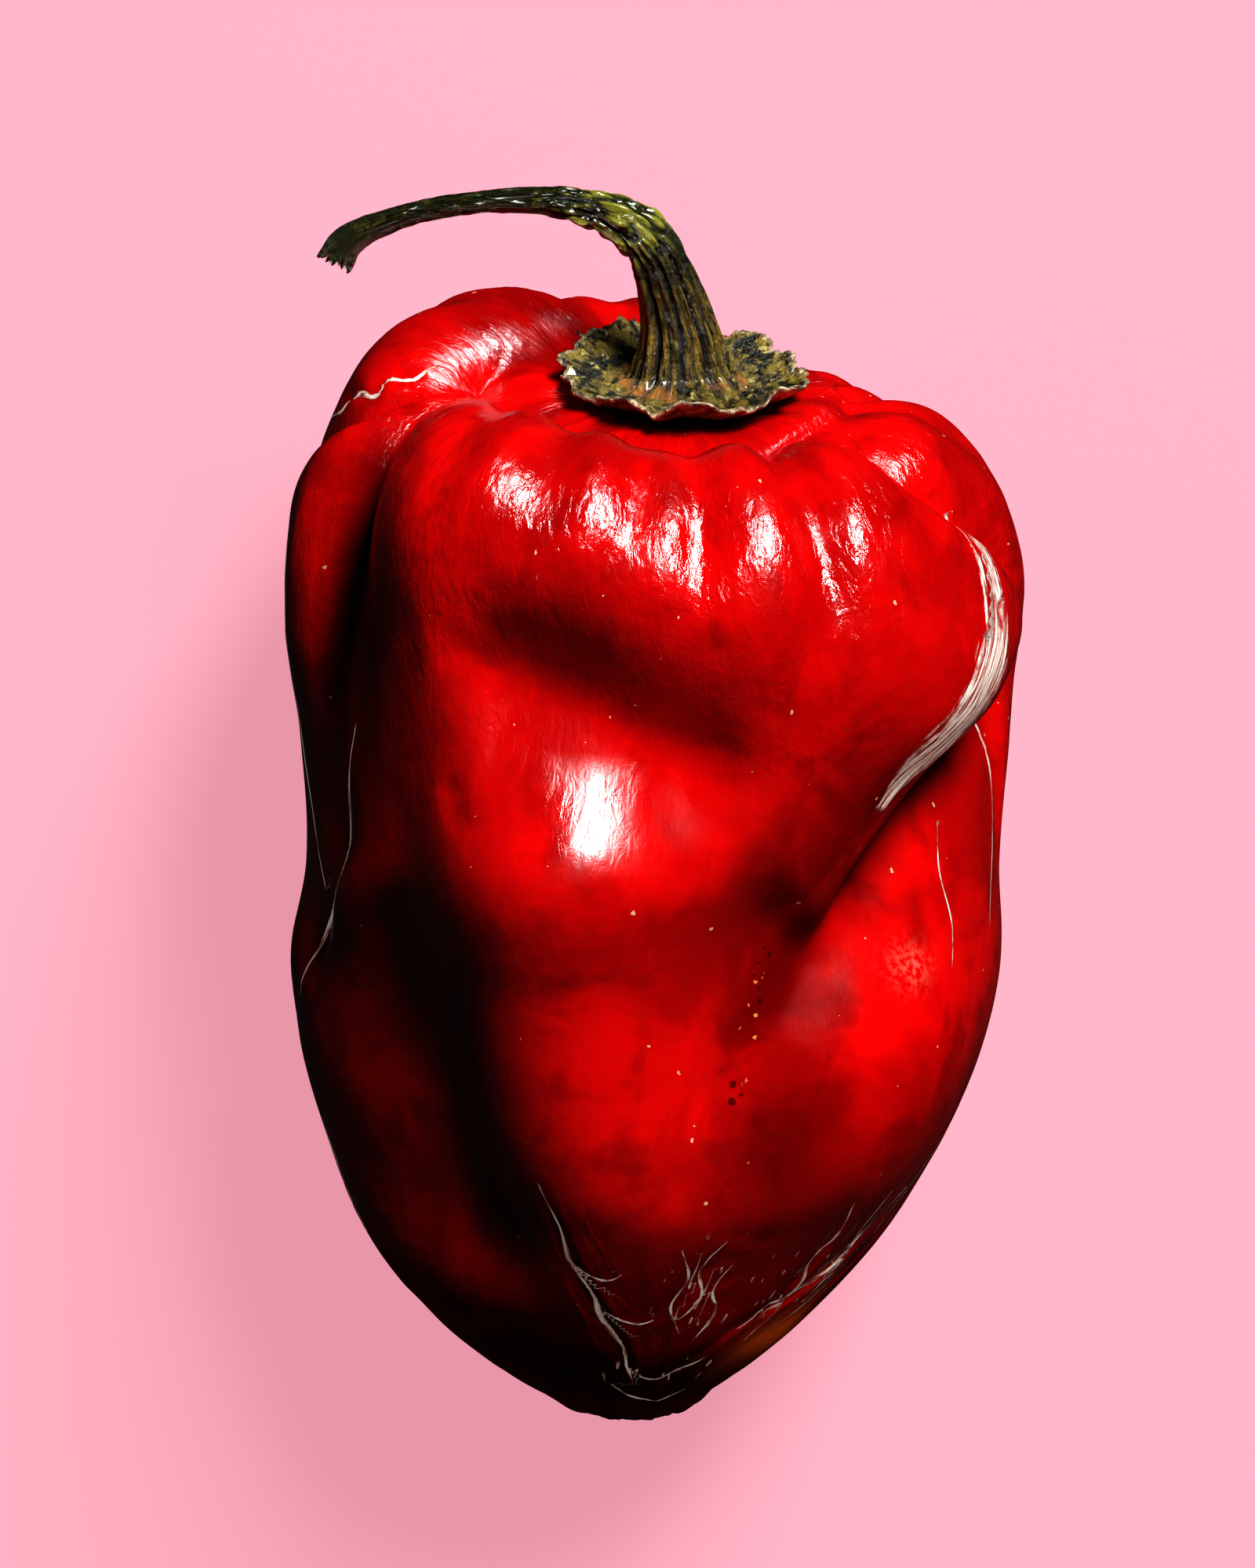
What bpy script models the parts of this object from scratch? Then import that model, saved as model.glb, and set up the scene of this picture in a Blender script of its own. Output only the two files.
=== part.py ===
"""A red habanero chilli pepper, as picked, lying on its side.

Two grown pieces: the lobed red pod, modelled solid, and its dry green stalk, which is one
growth from the cut end down the ribbed stem to the ruffled calyx that sits in the pod's crown.
The shape is worked out upright in the pod's own frame, in millimetres: the blossom tip at the
origin, +Z up the pod to the crown, -Y the face that ends up on top. Then the fruit is laid on
its back with the crown end raised a little, and its underside is flattened where it rests.
Places on the pod are given as an angle round it in degrees, from the upper face towards +X,
and a distance along its outline from the tip, in millimetres.
Run with: blender --background --python part.py
"""
import bmesh
import bpy
import numpy as np

MM = 0.001

# Driving dimensions, in millimetres and degrees
POD_RADIUS = 17.0            # at the shoulder, the widest place
UPPER_DEPTH = 0.95           # depth of the upper face, as a share of the radius
UNDER_DEPTH = 0.90           # depth of the underside, flatter because the fruit lies on it
SHOULDER_TILT = 0.055        # rise of the crown towards -X
TILT_FROM, SHOULDER_HEIGHT = 30.0, 48.0
BLUNT = 0.35                 # rounding of a fold's bottom, as a share of its reach
CALYX_CENTRE = (1.2, 0.0)    # where the stem stands on the crown
CALYX_RADIUS = 5.45
CALYX_THICKNESS = 0.7        # by the stem
RIM_THICKNESS = 0.46
RUFFLE = 0.13                # waves of the calyx rim
SEAT_GAP = 0.50              # clear space between calyx and pod
LEAN = 8.0                   # how far the crown end is raised when the fruit lies down
TIP_HEIGHT = 10.2            # blossom tip above the surface that the fruit lies on
REST_ALONG = 25.0            # from the blossom tip to the middle of the flattened spot

POD_AROUND, POD_ROWS = 88, 54
CLOSER_ROWS = 0.15           # how much closer the rows stand at the tip and the crown
STALK_AROUND, STEM_ROWS = 64, 32

# Outline of the pod from tip to crown: radius and height as shares of POD_RADIUS
OUTLINE = [(0.0, 0.0), (0.17, 0.01), (0.27, 0.08), (0.41, 0.19), (0.60, 0.38), (0.78, 0.65),
           (0.915, 1.0), (0.965, 1.30), (0.947, 1.62), (0.97, 2.0), (1.0, 2.32), (0.945, 2.68),
           (0.75, 2.95), (0.50, 3.045), (0.30, 2.96), (0.15, 2.91), (0.0, 2.90)]
# Sideways drift of the pod's middle: distance along the outline, shift towards +X
DRIFT = [(0, -0.6), (8, -1.6), (17, -1.45), (25, -0.85), (36, 0.0), (53, -0.3), (62, 0.1), (73, 1.2)]

# Folds between the lobes: depth, reach to the left and right of the path, height of the lip on
# the left, then the path. The lobe on the left of the path swells out over the fold.
FOLDS = [
    (3.0, 4.0, 1.8, 0.6, [(-112, 66.5), (-98, 64.2), (-86, 61.5), (-77, 57.5), (-70, 53), (-65, 47.5),
                          (-63, 42)]),
    (1.2, 1.1, 1.8, 0.4, [(-125, 68), (-102, 63.2), (-92, 60), (-90, 57.5), (-98, 53.5), (-104, 46)]),
    (1.3, 1.6, 2.4, 0.4, [(-150, 68), (-150, 63), (-142, 59), (-136, 52), (-138, 42)]),
    (1.7, 1.4, 1.9, 0.5, [(84, 40), (79, 47.5), (72, 52.5), (57, 56.5), (51, 60.5), (42, 65)]),
    (2.7, 3.0, 3.6, 0.9, [(16, 27), (20, 31), (28, 34), (38, 36.8), (48, 39.4), (59, 42), (71, 44.2),
                          (84, 45.2), (98, 44)]),
    (0.8, 1.4, 2.4, 0.2, [(-57, 43), (-61, 38.5), (-70, 34), (-80, 29.5)]),
    (1.6, 2.4, 2.8, 0.2, [(118, 36), (112, 44), (108, 52), (112, 60), (104, 67.5)]),
    (1.5, 2.4, 2.8, 0.2, [(-178, 68), (176, 60), (178, 50), (172, 42)]),
    (1.1, 2.2, 2.4, 0.1, [(146, 68), (150, 60), (146, 53)]),
]
# Broad hollows in the pod's wall: depth, reach to the left and right of the path, then the path
HOLLOWS = [
    (2.1, 3.5, 3.5, [(-36, 48), (-24, 48.4), (-12, 47.4), (-3, 45.8), (7, 43.8), (18, 41.5)]),
    (1.9, 4.2, 9.0, [(-60, 37), (-50, 33), (-40, 28), (-33, 22), (-26, 15)]),
    (1.2, 3.2, 4.2, [(30, 37), (20, 34.5), (14, 31), (12, 27), (12, 22)]),
    (0.8, 4.0, 4.0, [(130, 36), (150, 34), (176, 36)]),
]
# Valleys between the short ribs that fan out from the calyx, then the pleats at the tip
VALLEYS = [
    (0.70, 1.6, [(-62, 68), (-46, 62), (-38, 57), (-34, 52)]),
    (0.75, 1.5, [(-36, 67.5), (-22, 60.5), (-17, 53)]),
    (0.75, 1.6, [(-10, 67.5), (-3, 61.5), (-1, 53)]),
    (0.80, 1.2, [(9, 67.5), (9, 60.5), (8, 51)]),
    (1.05, 1.3, [(34, 67.5), (29, 58.5), (27, 48.5)]),
    (0.40, 1.0, [(88, 68), (84, 61), (86, 55)]),
    (0.40, 1.0, [(-136, 68), (-126, 61), (-122, 55)]),
    (0.45, 1.1, [(-164, 68), (-166, 61), (-164, 54)]),
    (0.45, 1.1, [(162, 68), (164, 60), (162, 53)]),
    (0.40, 1.0, [(128, 68), (131, 61), (129, 55)]),
    (0.35, 1.2, [(-20, 2.5), (-16, 8), (-10, 13)]),
    (0.35, 1.2, [(38, 2.5), (46, 8), (44, 14)]),
    (0.35, 1.2, [(88, 2.5), (84, 8), (80, 15)]),
    (0.30, 1.2, [(-80, 2.5), (-78, 9), (-70, 14)]),
    (0.35, 1.3, [(150, 3), (156, 9), (150, 16)]),
]
# Swellings and dents: place, height, reach round the pod and along it
SWELLS = [
    (-130, 61.5, 1.8, 7.0, 6.0),
    (170, 61, 0.8, 8.0, 5.0),
    (14, 64, -1.1, 7.5, 5.0),
    (84, 57, 0.5, 6.5, 5.5),
    (4, 59.5, 0.7, 13.0, 4.5),
    (-35, 55.5, 1.7, 6.0, 6.0),
    (44, 53, 1.0, 5.5, 6.5),
    (50, 47.5, 1.6, 6.5, 3.8),
    (19, 52.5, 1.1, 5.0, 5.5),
    (86, 48, 0.6, 7.0, 6.0),
    (-19, 39.8, 2.4, 7.0, 4.2),
    (-17, 35, 2.1, 5.5, 5.5),
    (-59, 51, -1.2, 4.5, 8.0),
    (-42, 40, -0.6, 3.0, 3.0),
    (-10, 26, 1.5, 5.0, 7.0),
    (-84, 31, 0.5, 5.0, 6.0),
    (-60, 35, 0.8, 3.5, 4.0),
    (42, 28, 1.1, 6.0, 6.5),
    (26, 23.5, 0.9, 7.0, 4.5),
    (120, 27, 0.6, 8.0, 8.0),
]

# Middle of the stem from the calyx to the cut end, with its radius there
STEM = [(1.2, 0.0, 51.3, 2.35), (1.15, 0.0, 52.4, 2.0), (0.95, 0.0, 53.8, 1.68), (0.5, -0.1, 55.5, 1.42),
        (-0.1, -0.2, 57.0, 1.3), (-1.5, -0.3, 58.4, 1.1), (-3.9, -0.5, 59.25, 0.78),
        (-7.0, -0.8, 59.5, 0.56), (-10.3, -1.2, 59.2, 0.5), (-12.8, -1.6, 58.5, 0.6),
        (-14.1, -1.8, 57.8, 0.76), (-14.6, -1.9, 57.0, 0.85)]
STEM_RIBS = 8
RIB_HEIGHT = 0.08            # as a share of the stem's radius
# Lobes of the calyx rim: angle round the stem, height above its seat, reach as a share
RIM = [(-180, 0.1, 0.94), (-145, 0.6, 0.96), (-118, 0.9, 0.98), (-92, 0.1, 1.0), (-60, 0.0, 1.02),
       (-22, 0.0, 1.15), (18, 0.0, 1.15), (42, 0.1, 1.1), (52, 0.2, 1.28), (63, 0.2, 1.04),
       (100, 0.1, 1.0), (135, 0.5, 0.96), (160, 0.3, 0.94), (180, 0.1, 0.94)]


def smooth_path(points, count):
    """Catmull-Rom curve through the points, as points at equal steps of length."""
    points = np.asarray(points, float)
    ends = np.vstack([2 * points[0] - points[1], points, 2 * points[-1] - points[-2]])
    t = np.linspace(0.0, 1.0, 24, endpoint=False)[:, None]
    spans = []
    for a, b, c, d in zip(ends, ends[1:], ends[2:], ends[3:]):
        spans.append(0.5 * (2 * b + (c - a) * t + (2 * a - 5 * b + 4 * c - d) * t ** 2
                            + (3 * b - a - 3 * c + d) * t ** 3))
    curve = np.vstack(spans + [points[-1:]])
    length = np.concatenate([[0.0], np.cumsum(np.linalg.norm(np.diff(curve, axis=0), axis=1))])
    steps = np.linspace(0.0, length[-1], count)
    return np.column_stack([np.interp(steps, length, column) for column in curve.T]), steps


outline, outline_steps = smooth_path(np.array(OUTLINE) * POD_RADIUS, 400)
OUTLINE_LENGTH = outline_steps[-1]
drift = smooth_path(DRIFT, 200)[0]


def bare_pod(angle, along):
    """Points of the pod before its folds, for angles in radians and distances along the outline."""
    radius = np.interp(along, outline_steps, outline[:, 0])
    height = np.interp(along, outline_steps, outline[:, 1])
    depth = 0.5 * (UPPER_DEPTH + UNDER_DEPTH) + 0.5 * (UPPER_DEPTH - UNDER_DEPTH) * np.cos(angle)
    x = radius * np.sin(angle) + np.interp(along, drift[:, 0], drift[:, 1])
    y = -radius * np.cos(angle) * depth
    near_crown = np.clip((height - TILT_FROM) / (SHOULDER_HEIGHT - TILT_FROM), 0.0, 1.0) ** 2
    return np.stack([x, y, height - SHOULDER_TILT * x * near_crown], -1)


def bare_normal(angle, along):
    """Outward normals of the bare pod, by central differences kept off its two poles."""
    along = np.clip(along, 0.4, OUTLINE_LENGTH - 0.4)
    round_it = bare_pod(angle + 0.02, along) - bare_pod(angle - 0.02, along)
    up_it = bare_pod(angle, along + 0.2) - bare_pod(angle, along - 0.2)
    normal = np.cross(round_it, up_it)
    return normal / np.linalg.norm(normal, axis=-1, keepdims=True)


def furrow(points, depth, reach_left, reach_right, lip, path):
    """Change of height from a furrow pressed in along a path. A fold, which has a lip, is sharp:
    exp(-gap / reach), with its lip raised on the left. A hollow is round: exp(-(gap / reach)^2).
    Both end within 3.5 reaches of the path and die out over its first and last quarter."""
    path = smooth_path(path, 25)[0]
    angle = np.radians(path[:, 0])
    line = bare_pod(angle, path[:, 1])
    up = bare_normal(angle, path[:, 1])
    start, step = line[:-1], np.diff(line, axis=0)
    offset = points[:, None] - start
    share = np.clip((offset * step).sum(-1) / (step ** 2).sum(-1), 0.0, 1.0)
    offset = offset - share[..., None] * step
    gap = np.linalg.norm(offset, axis=-1)
    nearest = gap.argmin(axis=1)
    rows = np.arange(len(points))
    left = (offset[rows, nearest] * np.cross(up[nearest], step[nearest])).sum(-1) > 0
    place = (nearest + share[rows, nearest]) / len(step)
    near = gap[rows, nearest] / np.where(left, reach_left, reach_right)
    if lip:
        rise = lip * np.where(left, near * np.exp(1 - near), 0.0)
        rise -= depth * np.exp(BLUNT - np.sqrt(near ** 2 + BLUNT ** 2))
    else:
        rise = -depth * np.exp(-near ** 2)
    ends = np.clip(np.minimum(place, 1 - place) / 0.28, 0.0, 1.0)
    return rise * np.clip(1 - (near / 3.5) ** 2, 0.0, 1.0) ** 2 * ends * ends * (3 - 2 * ends)


def swell(points, angle, along, height, reach_round, reach_along):
    """Change of height from a rounded swelling, or a dent where the height is below nothing."""
    angle = np.radians(angle)
    offset = points - bare_pod(angle, along)
    normal = bare_normal(angle, along)
    round_it = np.array([np.cos(angle), np.sin(angle), 0.0])
    up_it = np.cross(normal, round_it)
    share = (((offset @ round_it) / reach_round) ** 2 + ((offset @ up_it) / reach_along) ** 2
             + ((offset @ normal) / POD_RADIUS) ** 2)
    return height * np.exp(-share)


def pod_surface(angle, along):
    """Points of the finished pod in its own frame, in millimetres."""
    shape = np.shape(angle)
    angle, along = np.ravel(angle), np.ravel(along)
    points = bare_pod(angle, along)
    rise = np.zeros(len(points))
    for fold in FOLDS:
        rise += furrow(points, *fold)
    for depth, reach_left, reach_right, path in HOLLOWS:
        rise += furrow(points, depth, reach_left, reach_right, 0.0, path)
    for depth, reach, path in VALLEYS:
        rise += furrow(points, depth, reach, reach, 0.0, path)
    for place in SWELLS:
        rise += swell(points, *place)
    return (points + rise[:, None] * bare_normal(angle, along)).reshape(shape + (3,))


def lie_down(points):
    """Pod frame in millimetres to the resting fruit in metres, flattened where it touches."""
    lean = np.radians(LEAN)
    x, y, z = np.moveaxis(points, -1, 0)
    ahead = z * np.cos(lean) + y * np.sin(lean) - REST_ALONG
    height = z * np.sin(lean) - y * np.cos(lean) + TIP_HEIGHT
    return np.stack([x, ahead, np.maximum(height, 0.0)], -1) * MM


def crown_surface(angle, reach):
    """Points of the crown under the calyx, by angle and distance from the stem. The crown's own
    ribs are left out, because the calyx bridges them."""
    x = CALYX_CENTRE[0] + reach * np.sin(angle)
    y = CALYX_CENTRE[1] - reach * np.cos(angle)
    middle = np.interp(OUTLINE_LENGTH - reach, drift[:, 0], drift[:, 1])
    depth = 0.5 * (UPPER_DEPTH + UNDER_DEPTH)
    radius = np.hypot(x - middle, y / depth)
    inward = slice(None, np.argmax(outline[:, 1]) - 1, -1)
    height = np.interp(radius, outline[inward, 0], outline[inward, 1])
    along = np.interp(radius, outline[inward, 0], outline_steps[inward])
    points = bare_pod(np.arctan2(x - middle, -y / depth), along)
    rise = sum(swell(points, *place) for place in SWELLS)
    return np.stack([x, y, height - SHOULDER_TILT * x + rise], -1)


def stem_rings():
    """Rings of the stem from the calyx to the cut end, carried along the bend without twisting,
    then the stem's middle line and its heading."""
    stem = smooth_path(STEM, STEM_ROWS)[0]
    middle, radius = stem[:, :3], stem[:, 3]
    heading = np.gradient(middle, axis=0)
    heading /= np.linalg.norm(heading, axis=1, keepdims=True)
    turn = np.linspace(0, 2 * np.pi, STALK_AROUND, endpoint=False)
    across, forward = np.sin(turn)[:, None], np.cos(turn)[:, None]
    ribbed = 1 - RIB_HEIGHT * np.cos(STEM_RIBS * turn)[:, None]
    side = np.array([1.0, 0.0, 0.0])
    rings = []
    for centre, width, ahead in zip(middle, radius, heading):
        side = side - ahead * (side @ ahead)
        side = side / np.linalg.norm(side)
        rings.append(centre + width * ribbed * (across * side + forward * np.cross(side, ahead)))
    return rings, middle, heading


def stalk_surface():
    """Rings of the whole stalk: middle of the cut, stem, flare, calyx top, rim, underside."""
    rings, middle, heading = stem_rings()
    turn = np.linspace(0, 2 * np.pi, STALK_AROUND, endpoint=False)
    rim = np.array(RIM)
    degrees = (np.degrees(turn) + 180) % 360 - 180
    waves = RUFFLE * (np.sin(9 * turn) + 0.6 * np.sin(14 * turn + 1))
    lift = np.interp(degrees, rim[:, 0], rim[:, 1]) + waves
    reach = CALYX_RADIUS * np.interp(degrees, rim[:, 0], rim[:, 2]) + RUFFLE * np.sin(11 * turn)
    foot = rings[0]
    foot_reach = np.linalg.norm(foot[:, :2] - np.array(CALYX_CENTRE), axis=1)

    def underside(share):
        ring = crown_surface(turn, reach * share)
        ring[:, 2] += SEAT_GAP + lift * share ** 3
        return ring

    def topside(share):
        """The leafy top, thinner to its rim, that rises into the foot of the stem."""
        out = foot_reach + (reach - foot_reach) * share
        ring = crown_surface(turn, out)
        ring[:, 2] += SEAT_GAP + lift * (out / reach) ** 3
        ring[:, 2] += CALYX_THICKNESS * (1 - share) + RIM_THICKNESS * share
        flare = np.clip(1 - share / 0.4, 0, 1) ** 2
        ring[:, 2] += (foot[:, 2] - ring[:, 2]) * flare
        return ring

    top = [topside(share) for share in (0.1, 0.22, 0.38, 0.55, 0.72, 0.88, 0.97)]
    brim = underside(1.0) + [0, 0, 0.5 * RIM_THICKNESS]
    brim[:, :2] += 0.15 * np.stack([np.sin(turn), -np.cos(turn)], -1)
    under = [underside(share) for share in (0.985, 0.85, 0.65, 0.42, 0.2)]
    cut = middle[-1] + 0.12 * heading[-1]
    return [cut] + rings[::-1] + top + [brim] + under + [under[-1].mean(axis=0)]


def closed_skin(name, first, rings, last, colour, roughness):
    """A closed body from a point, rings of points and a last point, shaded smooth."""
    shell = bmesh.new()
    rows = [[shell.verts.new(point) for point in ring] for ring in rings]
    start, end = shell.verts.new(first), shell.verts.new(last)
    count = len(rows[0])
    for below, above in zip(rows, rows[1:]):
        for k in range(count):
            shell.faces.new((below[k], below[(k + 1) % count], above[(k + 1) % count], above[k]))
    for k in range(count):
        shell.faces.new((start, rows[0][(k + 1) % count], rows[0][k]))
        shell.faces.new((end, rows[-1][k], rows[-1][(k + 1) % count]))
    bmesh.ops.triangulate(shell, faces=shell.faces[:], quad_method="SHORT_EDGE")
    bmesh.ops.recalc_face_normals(shell, faces=shell.faces[:])
    mesh = bpy.data.meshes.new(name)
    shell.to_mesh(mesh)
    shell.free()
    mesh.shade_smooth()
    material = bpy.data.materials.new(name + "_skin")
    material.use_nodes = True
    shader = material.node_tree.nodes["Principled BSDF"]
    shader.inputs["Base Color"].default_value = (*colour, 1.0)
    shader.inputs["Roughness"].default_value = roughness
    shader.inputs["Metallic"].default_value = 0.0
    mesh.materials.append(material)
    body = bpy.data.objects.new(name, mesh)
    bpy.context.scene.collection.objects.link(body)
    return body


def build_pod():
    """Rows from the blossom tip to the crown, closed by a point at each end."""
    around = np.linspace(0, 2 * np.pi, POD_AROUND, endpoint=False)
    share = np.linspace(0, 1, POD_ROWS + 1)
    along = OUTLINE_LENGTH * (share - CLOSER_ROWS * np.sin(2 * np.pi * share) / (2 * np.pi))
    grid = lie_down(pod_surface(*np.meshgrid(around, along[1:-1])))
    ends = lie_down(pod_surface(np.zeros(2), along[[0, -1]]))
    return closed_skin("pod", ends[0], grid, ends[1], (0.60, 0.004, 0.006), 0.22)


def build_stalk():
    rings = [lie_down(ring) for ring in stalk_surface()]
    return closed_skin("stem_and_calyx", rings[0], rings[1:-1], rings[-1], (0.045, 0.062, 0.012), 0.55)


for leftover in list(bpy.data.objects):
    bpy.data.objects.remove(leftover, do_unlink=True)
build_pod()
build_stalk()
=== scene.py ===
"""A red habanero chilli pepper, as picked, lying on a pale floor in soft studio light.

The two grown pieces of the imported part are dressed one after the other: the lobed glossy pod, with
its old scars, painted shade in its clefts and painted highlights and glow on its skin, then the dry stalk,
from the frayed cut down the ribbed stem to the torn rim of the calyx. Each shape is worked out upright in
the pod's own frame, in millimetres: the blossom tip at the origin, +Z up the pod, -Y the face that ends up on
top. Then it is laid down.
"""
import math

import bpy
import numpy as np
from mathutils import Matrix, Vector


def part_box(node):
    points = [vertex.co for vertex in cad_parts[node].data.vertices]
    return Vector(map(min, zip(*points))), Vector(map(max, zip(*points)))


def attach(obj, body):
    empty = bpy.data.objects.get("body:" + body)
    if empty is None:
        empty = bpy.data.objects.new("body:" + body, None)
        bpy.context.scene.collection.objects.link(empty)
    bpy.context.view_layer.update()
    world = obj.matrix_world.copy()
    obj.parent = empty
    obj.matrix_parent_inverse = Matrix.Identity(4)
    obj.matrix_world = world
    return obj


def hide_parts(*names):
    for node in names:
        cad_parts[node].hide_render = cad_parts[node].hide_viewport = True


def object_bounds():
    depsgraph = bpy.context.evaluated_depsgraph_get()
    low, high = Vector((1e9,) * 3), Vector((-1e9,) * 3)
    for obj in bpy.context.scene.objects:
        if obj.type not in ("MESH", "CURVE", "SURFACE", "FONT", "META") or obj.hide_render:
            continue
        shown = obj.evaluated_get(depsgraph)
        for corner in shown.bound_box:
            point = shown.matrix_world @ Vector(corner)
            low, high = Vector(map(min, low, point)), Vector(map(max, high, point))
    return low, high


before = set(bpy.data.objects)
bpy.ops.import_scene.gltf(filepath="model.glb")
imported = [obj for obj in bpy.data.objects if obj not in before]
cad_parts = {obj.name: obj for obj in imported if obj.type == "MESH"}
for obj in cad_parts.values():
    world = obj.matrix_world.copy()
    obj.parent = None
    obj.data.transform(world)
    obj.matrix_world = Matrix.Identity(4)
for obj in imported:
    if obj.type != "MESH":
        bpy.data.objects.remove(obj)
solid_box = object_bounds()

# The pod. One grown fruit: thick waxy skin over firm flesh, swollen into lobes that fold over each
# other at the shoulders, with short ribs that fan out from the stalk and pleats that draw together
# at the blossom tip. It lies on its back with the crown end raised, flattened where it rests.
MM = 0.001
POD_RADIUS = 17.0
UPPER_DEPTH, UNDER_DEPTH = 0.95, 0.90
SHOULDER_TILT = 0.055
TILT_FROM, SHOULDER_HEIGHT = 30.0, 48.0
BLUNT = 0.35
LEAN, TIP_HEIGHT, REST_ALONG = 8.0, 10.2, 25.0
POD_AROUND, POD_ROWS = 316, 300
CLOSER_ROWS = 0.15
CLOSER_ON_TOP = 0.22

# Outline as radius and height, in pod radii, from the blossom tip to the middle of the crown
OUTLINE = [(0.0, 0.0), (0.17, 0.01), (0.27, 0.08), (0.41, 0.19), (0.60, 0.38), (0.78, 0.65),
           (0.915, 1.0), (0.965, 1.30), (0.947, 1.62), (0.97, 2.0), (1.0, 2.32), (0.945, 2.68),
           (0.75, 2.95), (0.50, 3.045), (0.30, 2.96), (0.15, 2.91), (0.0, 2.90)]
# Drift of the middle line: distance along the pod and how far it wanders to the right
DRIFT = [(0, -0.6), (8, -1.6), (17, -1.45), (25, -0.85), (36, 0.0), (53, -0.3), (62, 0.1), (73, 1.2)]
# All paths are points of angle round the pod in degrees and distance along it in millimetres.
# Folds where lobes meet: depth, reach left, reach right, lip, path
FOLDS = [
    (3.0, 4.0, 1.8, 0.6, [(-112, 66.5), (-98, 64.2), (-86, 61.5), (-77, 57.5), (-70, 53), (-65, 47.5),
                          (-63, 42)]),
    (1.2, 1.1, 1.8, 0.4, [(-125, 68), (-102, 63.2), (-92, 60), (-90, 57.5), (-98, 53.5), (-104, 46)]),
    (1.3, 1.6, 2.4, 0.4, [(-150, 68), (-150, 63), (-142, 59), (-136, 52), (-138, 42)]),
    (1.7, 1.4, 1.9, 0.5, [(84, 40), (79, 47.5), (72, 52.5), (57, 56.5), (51, 60.5), (42, 65)]),
    (2.7, 3.0, 3.6, 0.9, [(16, 27), (20, 31), (28, 34), (38, 36.8), (48, 39.4), (59, 42), (71, 44.2),
                          (84, 45.2), (98, 44)]),
    (0.8, 1.4, 2.4, 0.2, [(-57, 43), (-61, 38.5), (-70, 34), (-80, 29.5)]),
    (1.6, 2.4, 2.8, 0.2, [(118, 36), (112, 44), (108, 52), (112, 60), (104, 67.5)]),
    (1.5, 2.4, 2.8, 0.2, [(-178, 68), (176, 60), (178, 50), (172, 42)]),
    (1.1, 2.2, 2.4, 0.1, [(146, 68), (150, 60), (146, 53)]),
]
# Broad hollows in the wall: depth, reach left, reach right, path
HOLLOWS = [
    (2.1, 3.5, 3.5, [(-36, 48), (-24, 48.4), (-12, 47.4), (-3, 45.8), (7, 43.8), (18, 41.5)]),
    (1.9, 4.2, 9.0, [(-60, 37), (-50, 33), (-40, 28), (-33, 22), (-26, 15)]),
    (1.2, 3.2, 4.2, [(30, 37), (20, 34.5), (14, 31), (12, 27), (12, 22)]),
    (0.8, 4.0, 4.0, [(130, 36), (150, 34), (176, 36)]),
]
# Valleys between the ribs that fan out from the calyx, then the pleats at the tip
VALLEYS = [
    (0.70, 1.6, [(-62, 68), (-46, 62), (-38, 57), (-34, 52)]),
    (0.75, 1.5, [(-36, 67.5), (-22, 60.5), (-17, 53)]),
    (0.75, 1.6, [(-10, 67.5), (-3, 61.5), (-1, 53)]),
    (0.80, 1.2, [(9, 67.5), (9, 60.5), (8, 51)]),
    (1.05, 1.3, [(34, 67.5), (29, 58.5), (27, 48.5)]),
    (0.40, 1.0, [(88, 68), (84, 61), (86, 55)]),
    (0.40, 1.0, [(-136, 68), (-126, 61), (-122, 55)]),
    (0.45, 1.1, [(-164, 68), (-166, 61), (-164, 54)]),
    (0.45, 1.1, [(162, 68), (164, 60), (162, 53)]),
    (0.40, 1.0, [(128, 68), (131, 61), (129, 55)]),
    (0.35, 1.2, [(-20, 2.5), (-16, 8), (-10, 13)]),
    (0.35, 1.2, [(38, 2.5), (46, 8), (44, 14)]),
    (0.35, 1.2, [(88, 2.5), (84, 8), (80, 15)]),
    (0.30, 1.2, [(-80, 2.5), (-78, 9), (-70, 14)]),
    (0.35, 1.3, [(150, 3), (156, 9), (150, 16)]),
]
# Swellings and dents: angle, distance along, height, reach round the pod and along it
SWELLS = [
    (-130, 61.5, 1.8, 7.0, 6.0),
    (170, 61, 0.8, 8.0, 5.0),
    (14, 64, -1.1, 7.5, 5.0),
    (84, 57, 0.5, 6.5, 5.5),
    (4, 59.5, 0.7, 13.0, 4.5),
    (-35, 55.5, 1.7, 6.0, 6.0),
    (44, 53, 1.0, 5.5, 6.5),
    (50, 47.5, 1.6, 6.5, 3.8),
    (19, 52.5, 1.1, 5.0, 5.5),
    (86, 48, 0.6, 7.0, 6.0),
    (-19, 39.8, 2.4, 7.0, 4.2),
    (-17, 35, 2.1, 5.5, 5.5),
    (-59, 51, -1.2, 4.5, 8.0),
    (-42, 40, -0.6, 3.0, 3.0),
    (-10, 26, 1.5, 5.0, 7.0),
    (-84, 31, 0.5, 5.0, 6.0),
    (-60, 35, 0.8, 3.5, 4.0),
    (42, 28, 1.1, 6.0, 6.5),
    (26, 23.5, 0.9, 7.0, 4.5),
    (120, 27, 0.6, 8.0, 8.0),
]
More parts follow.
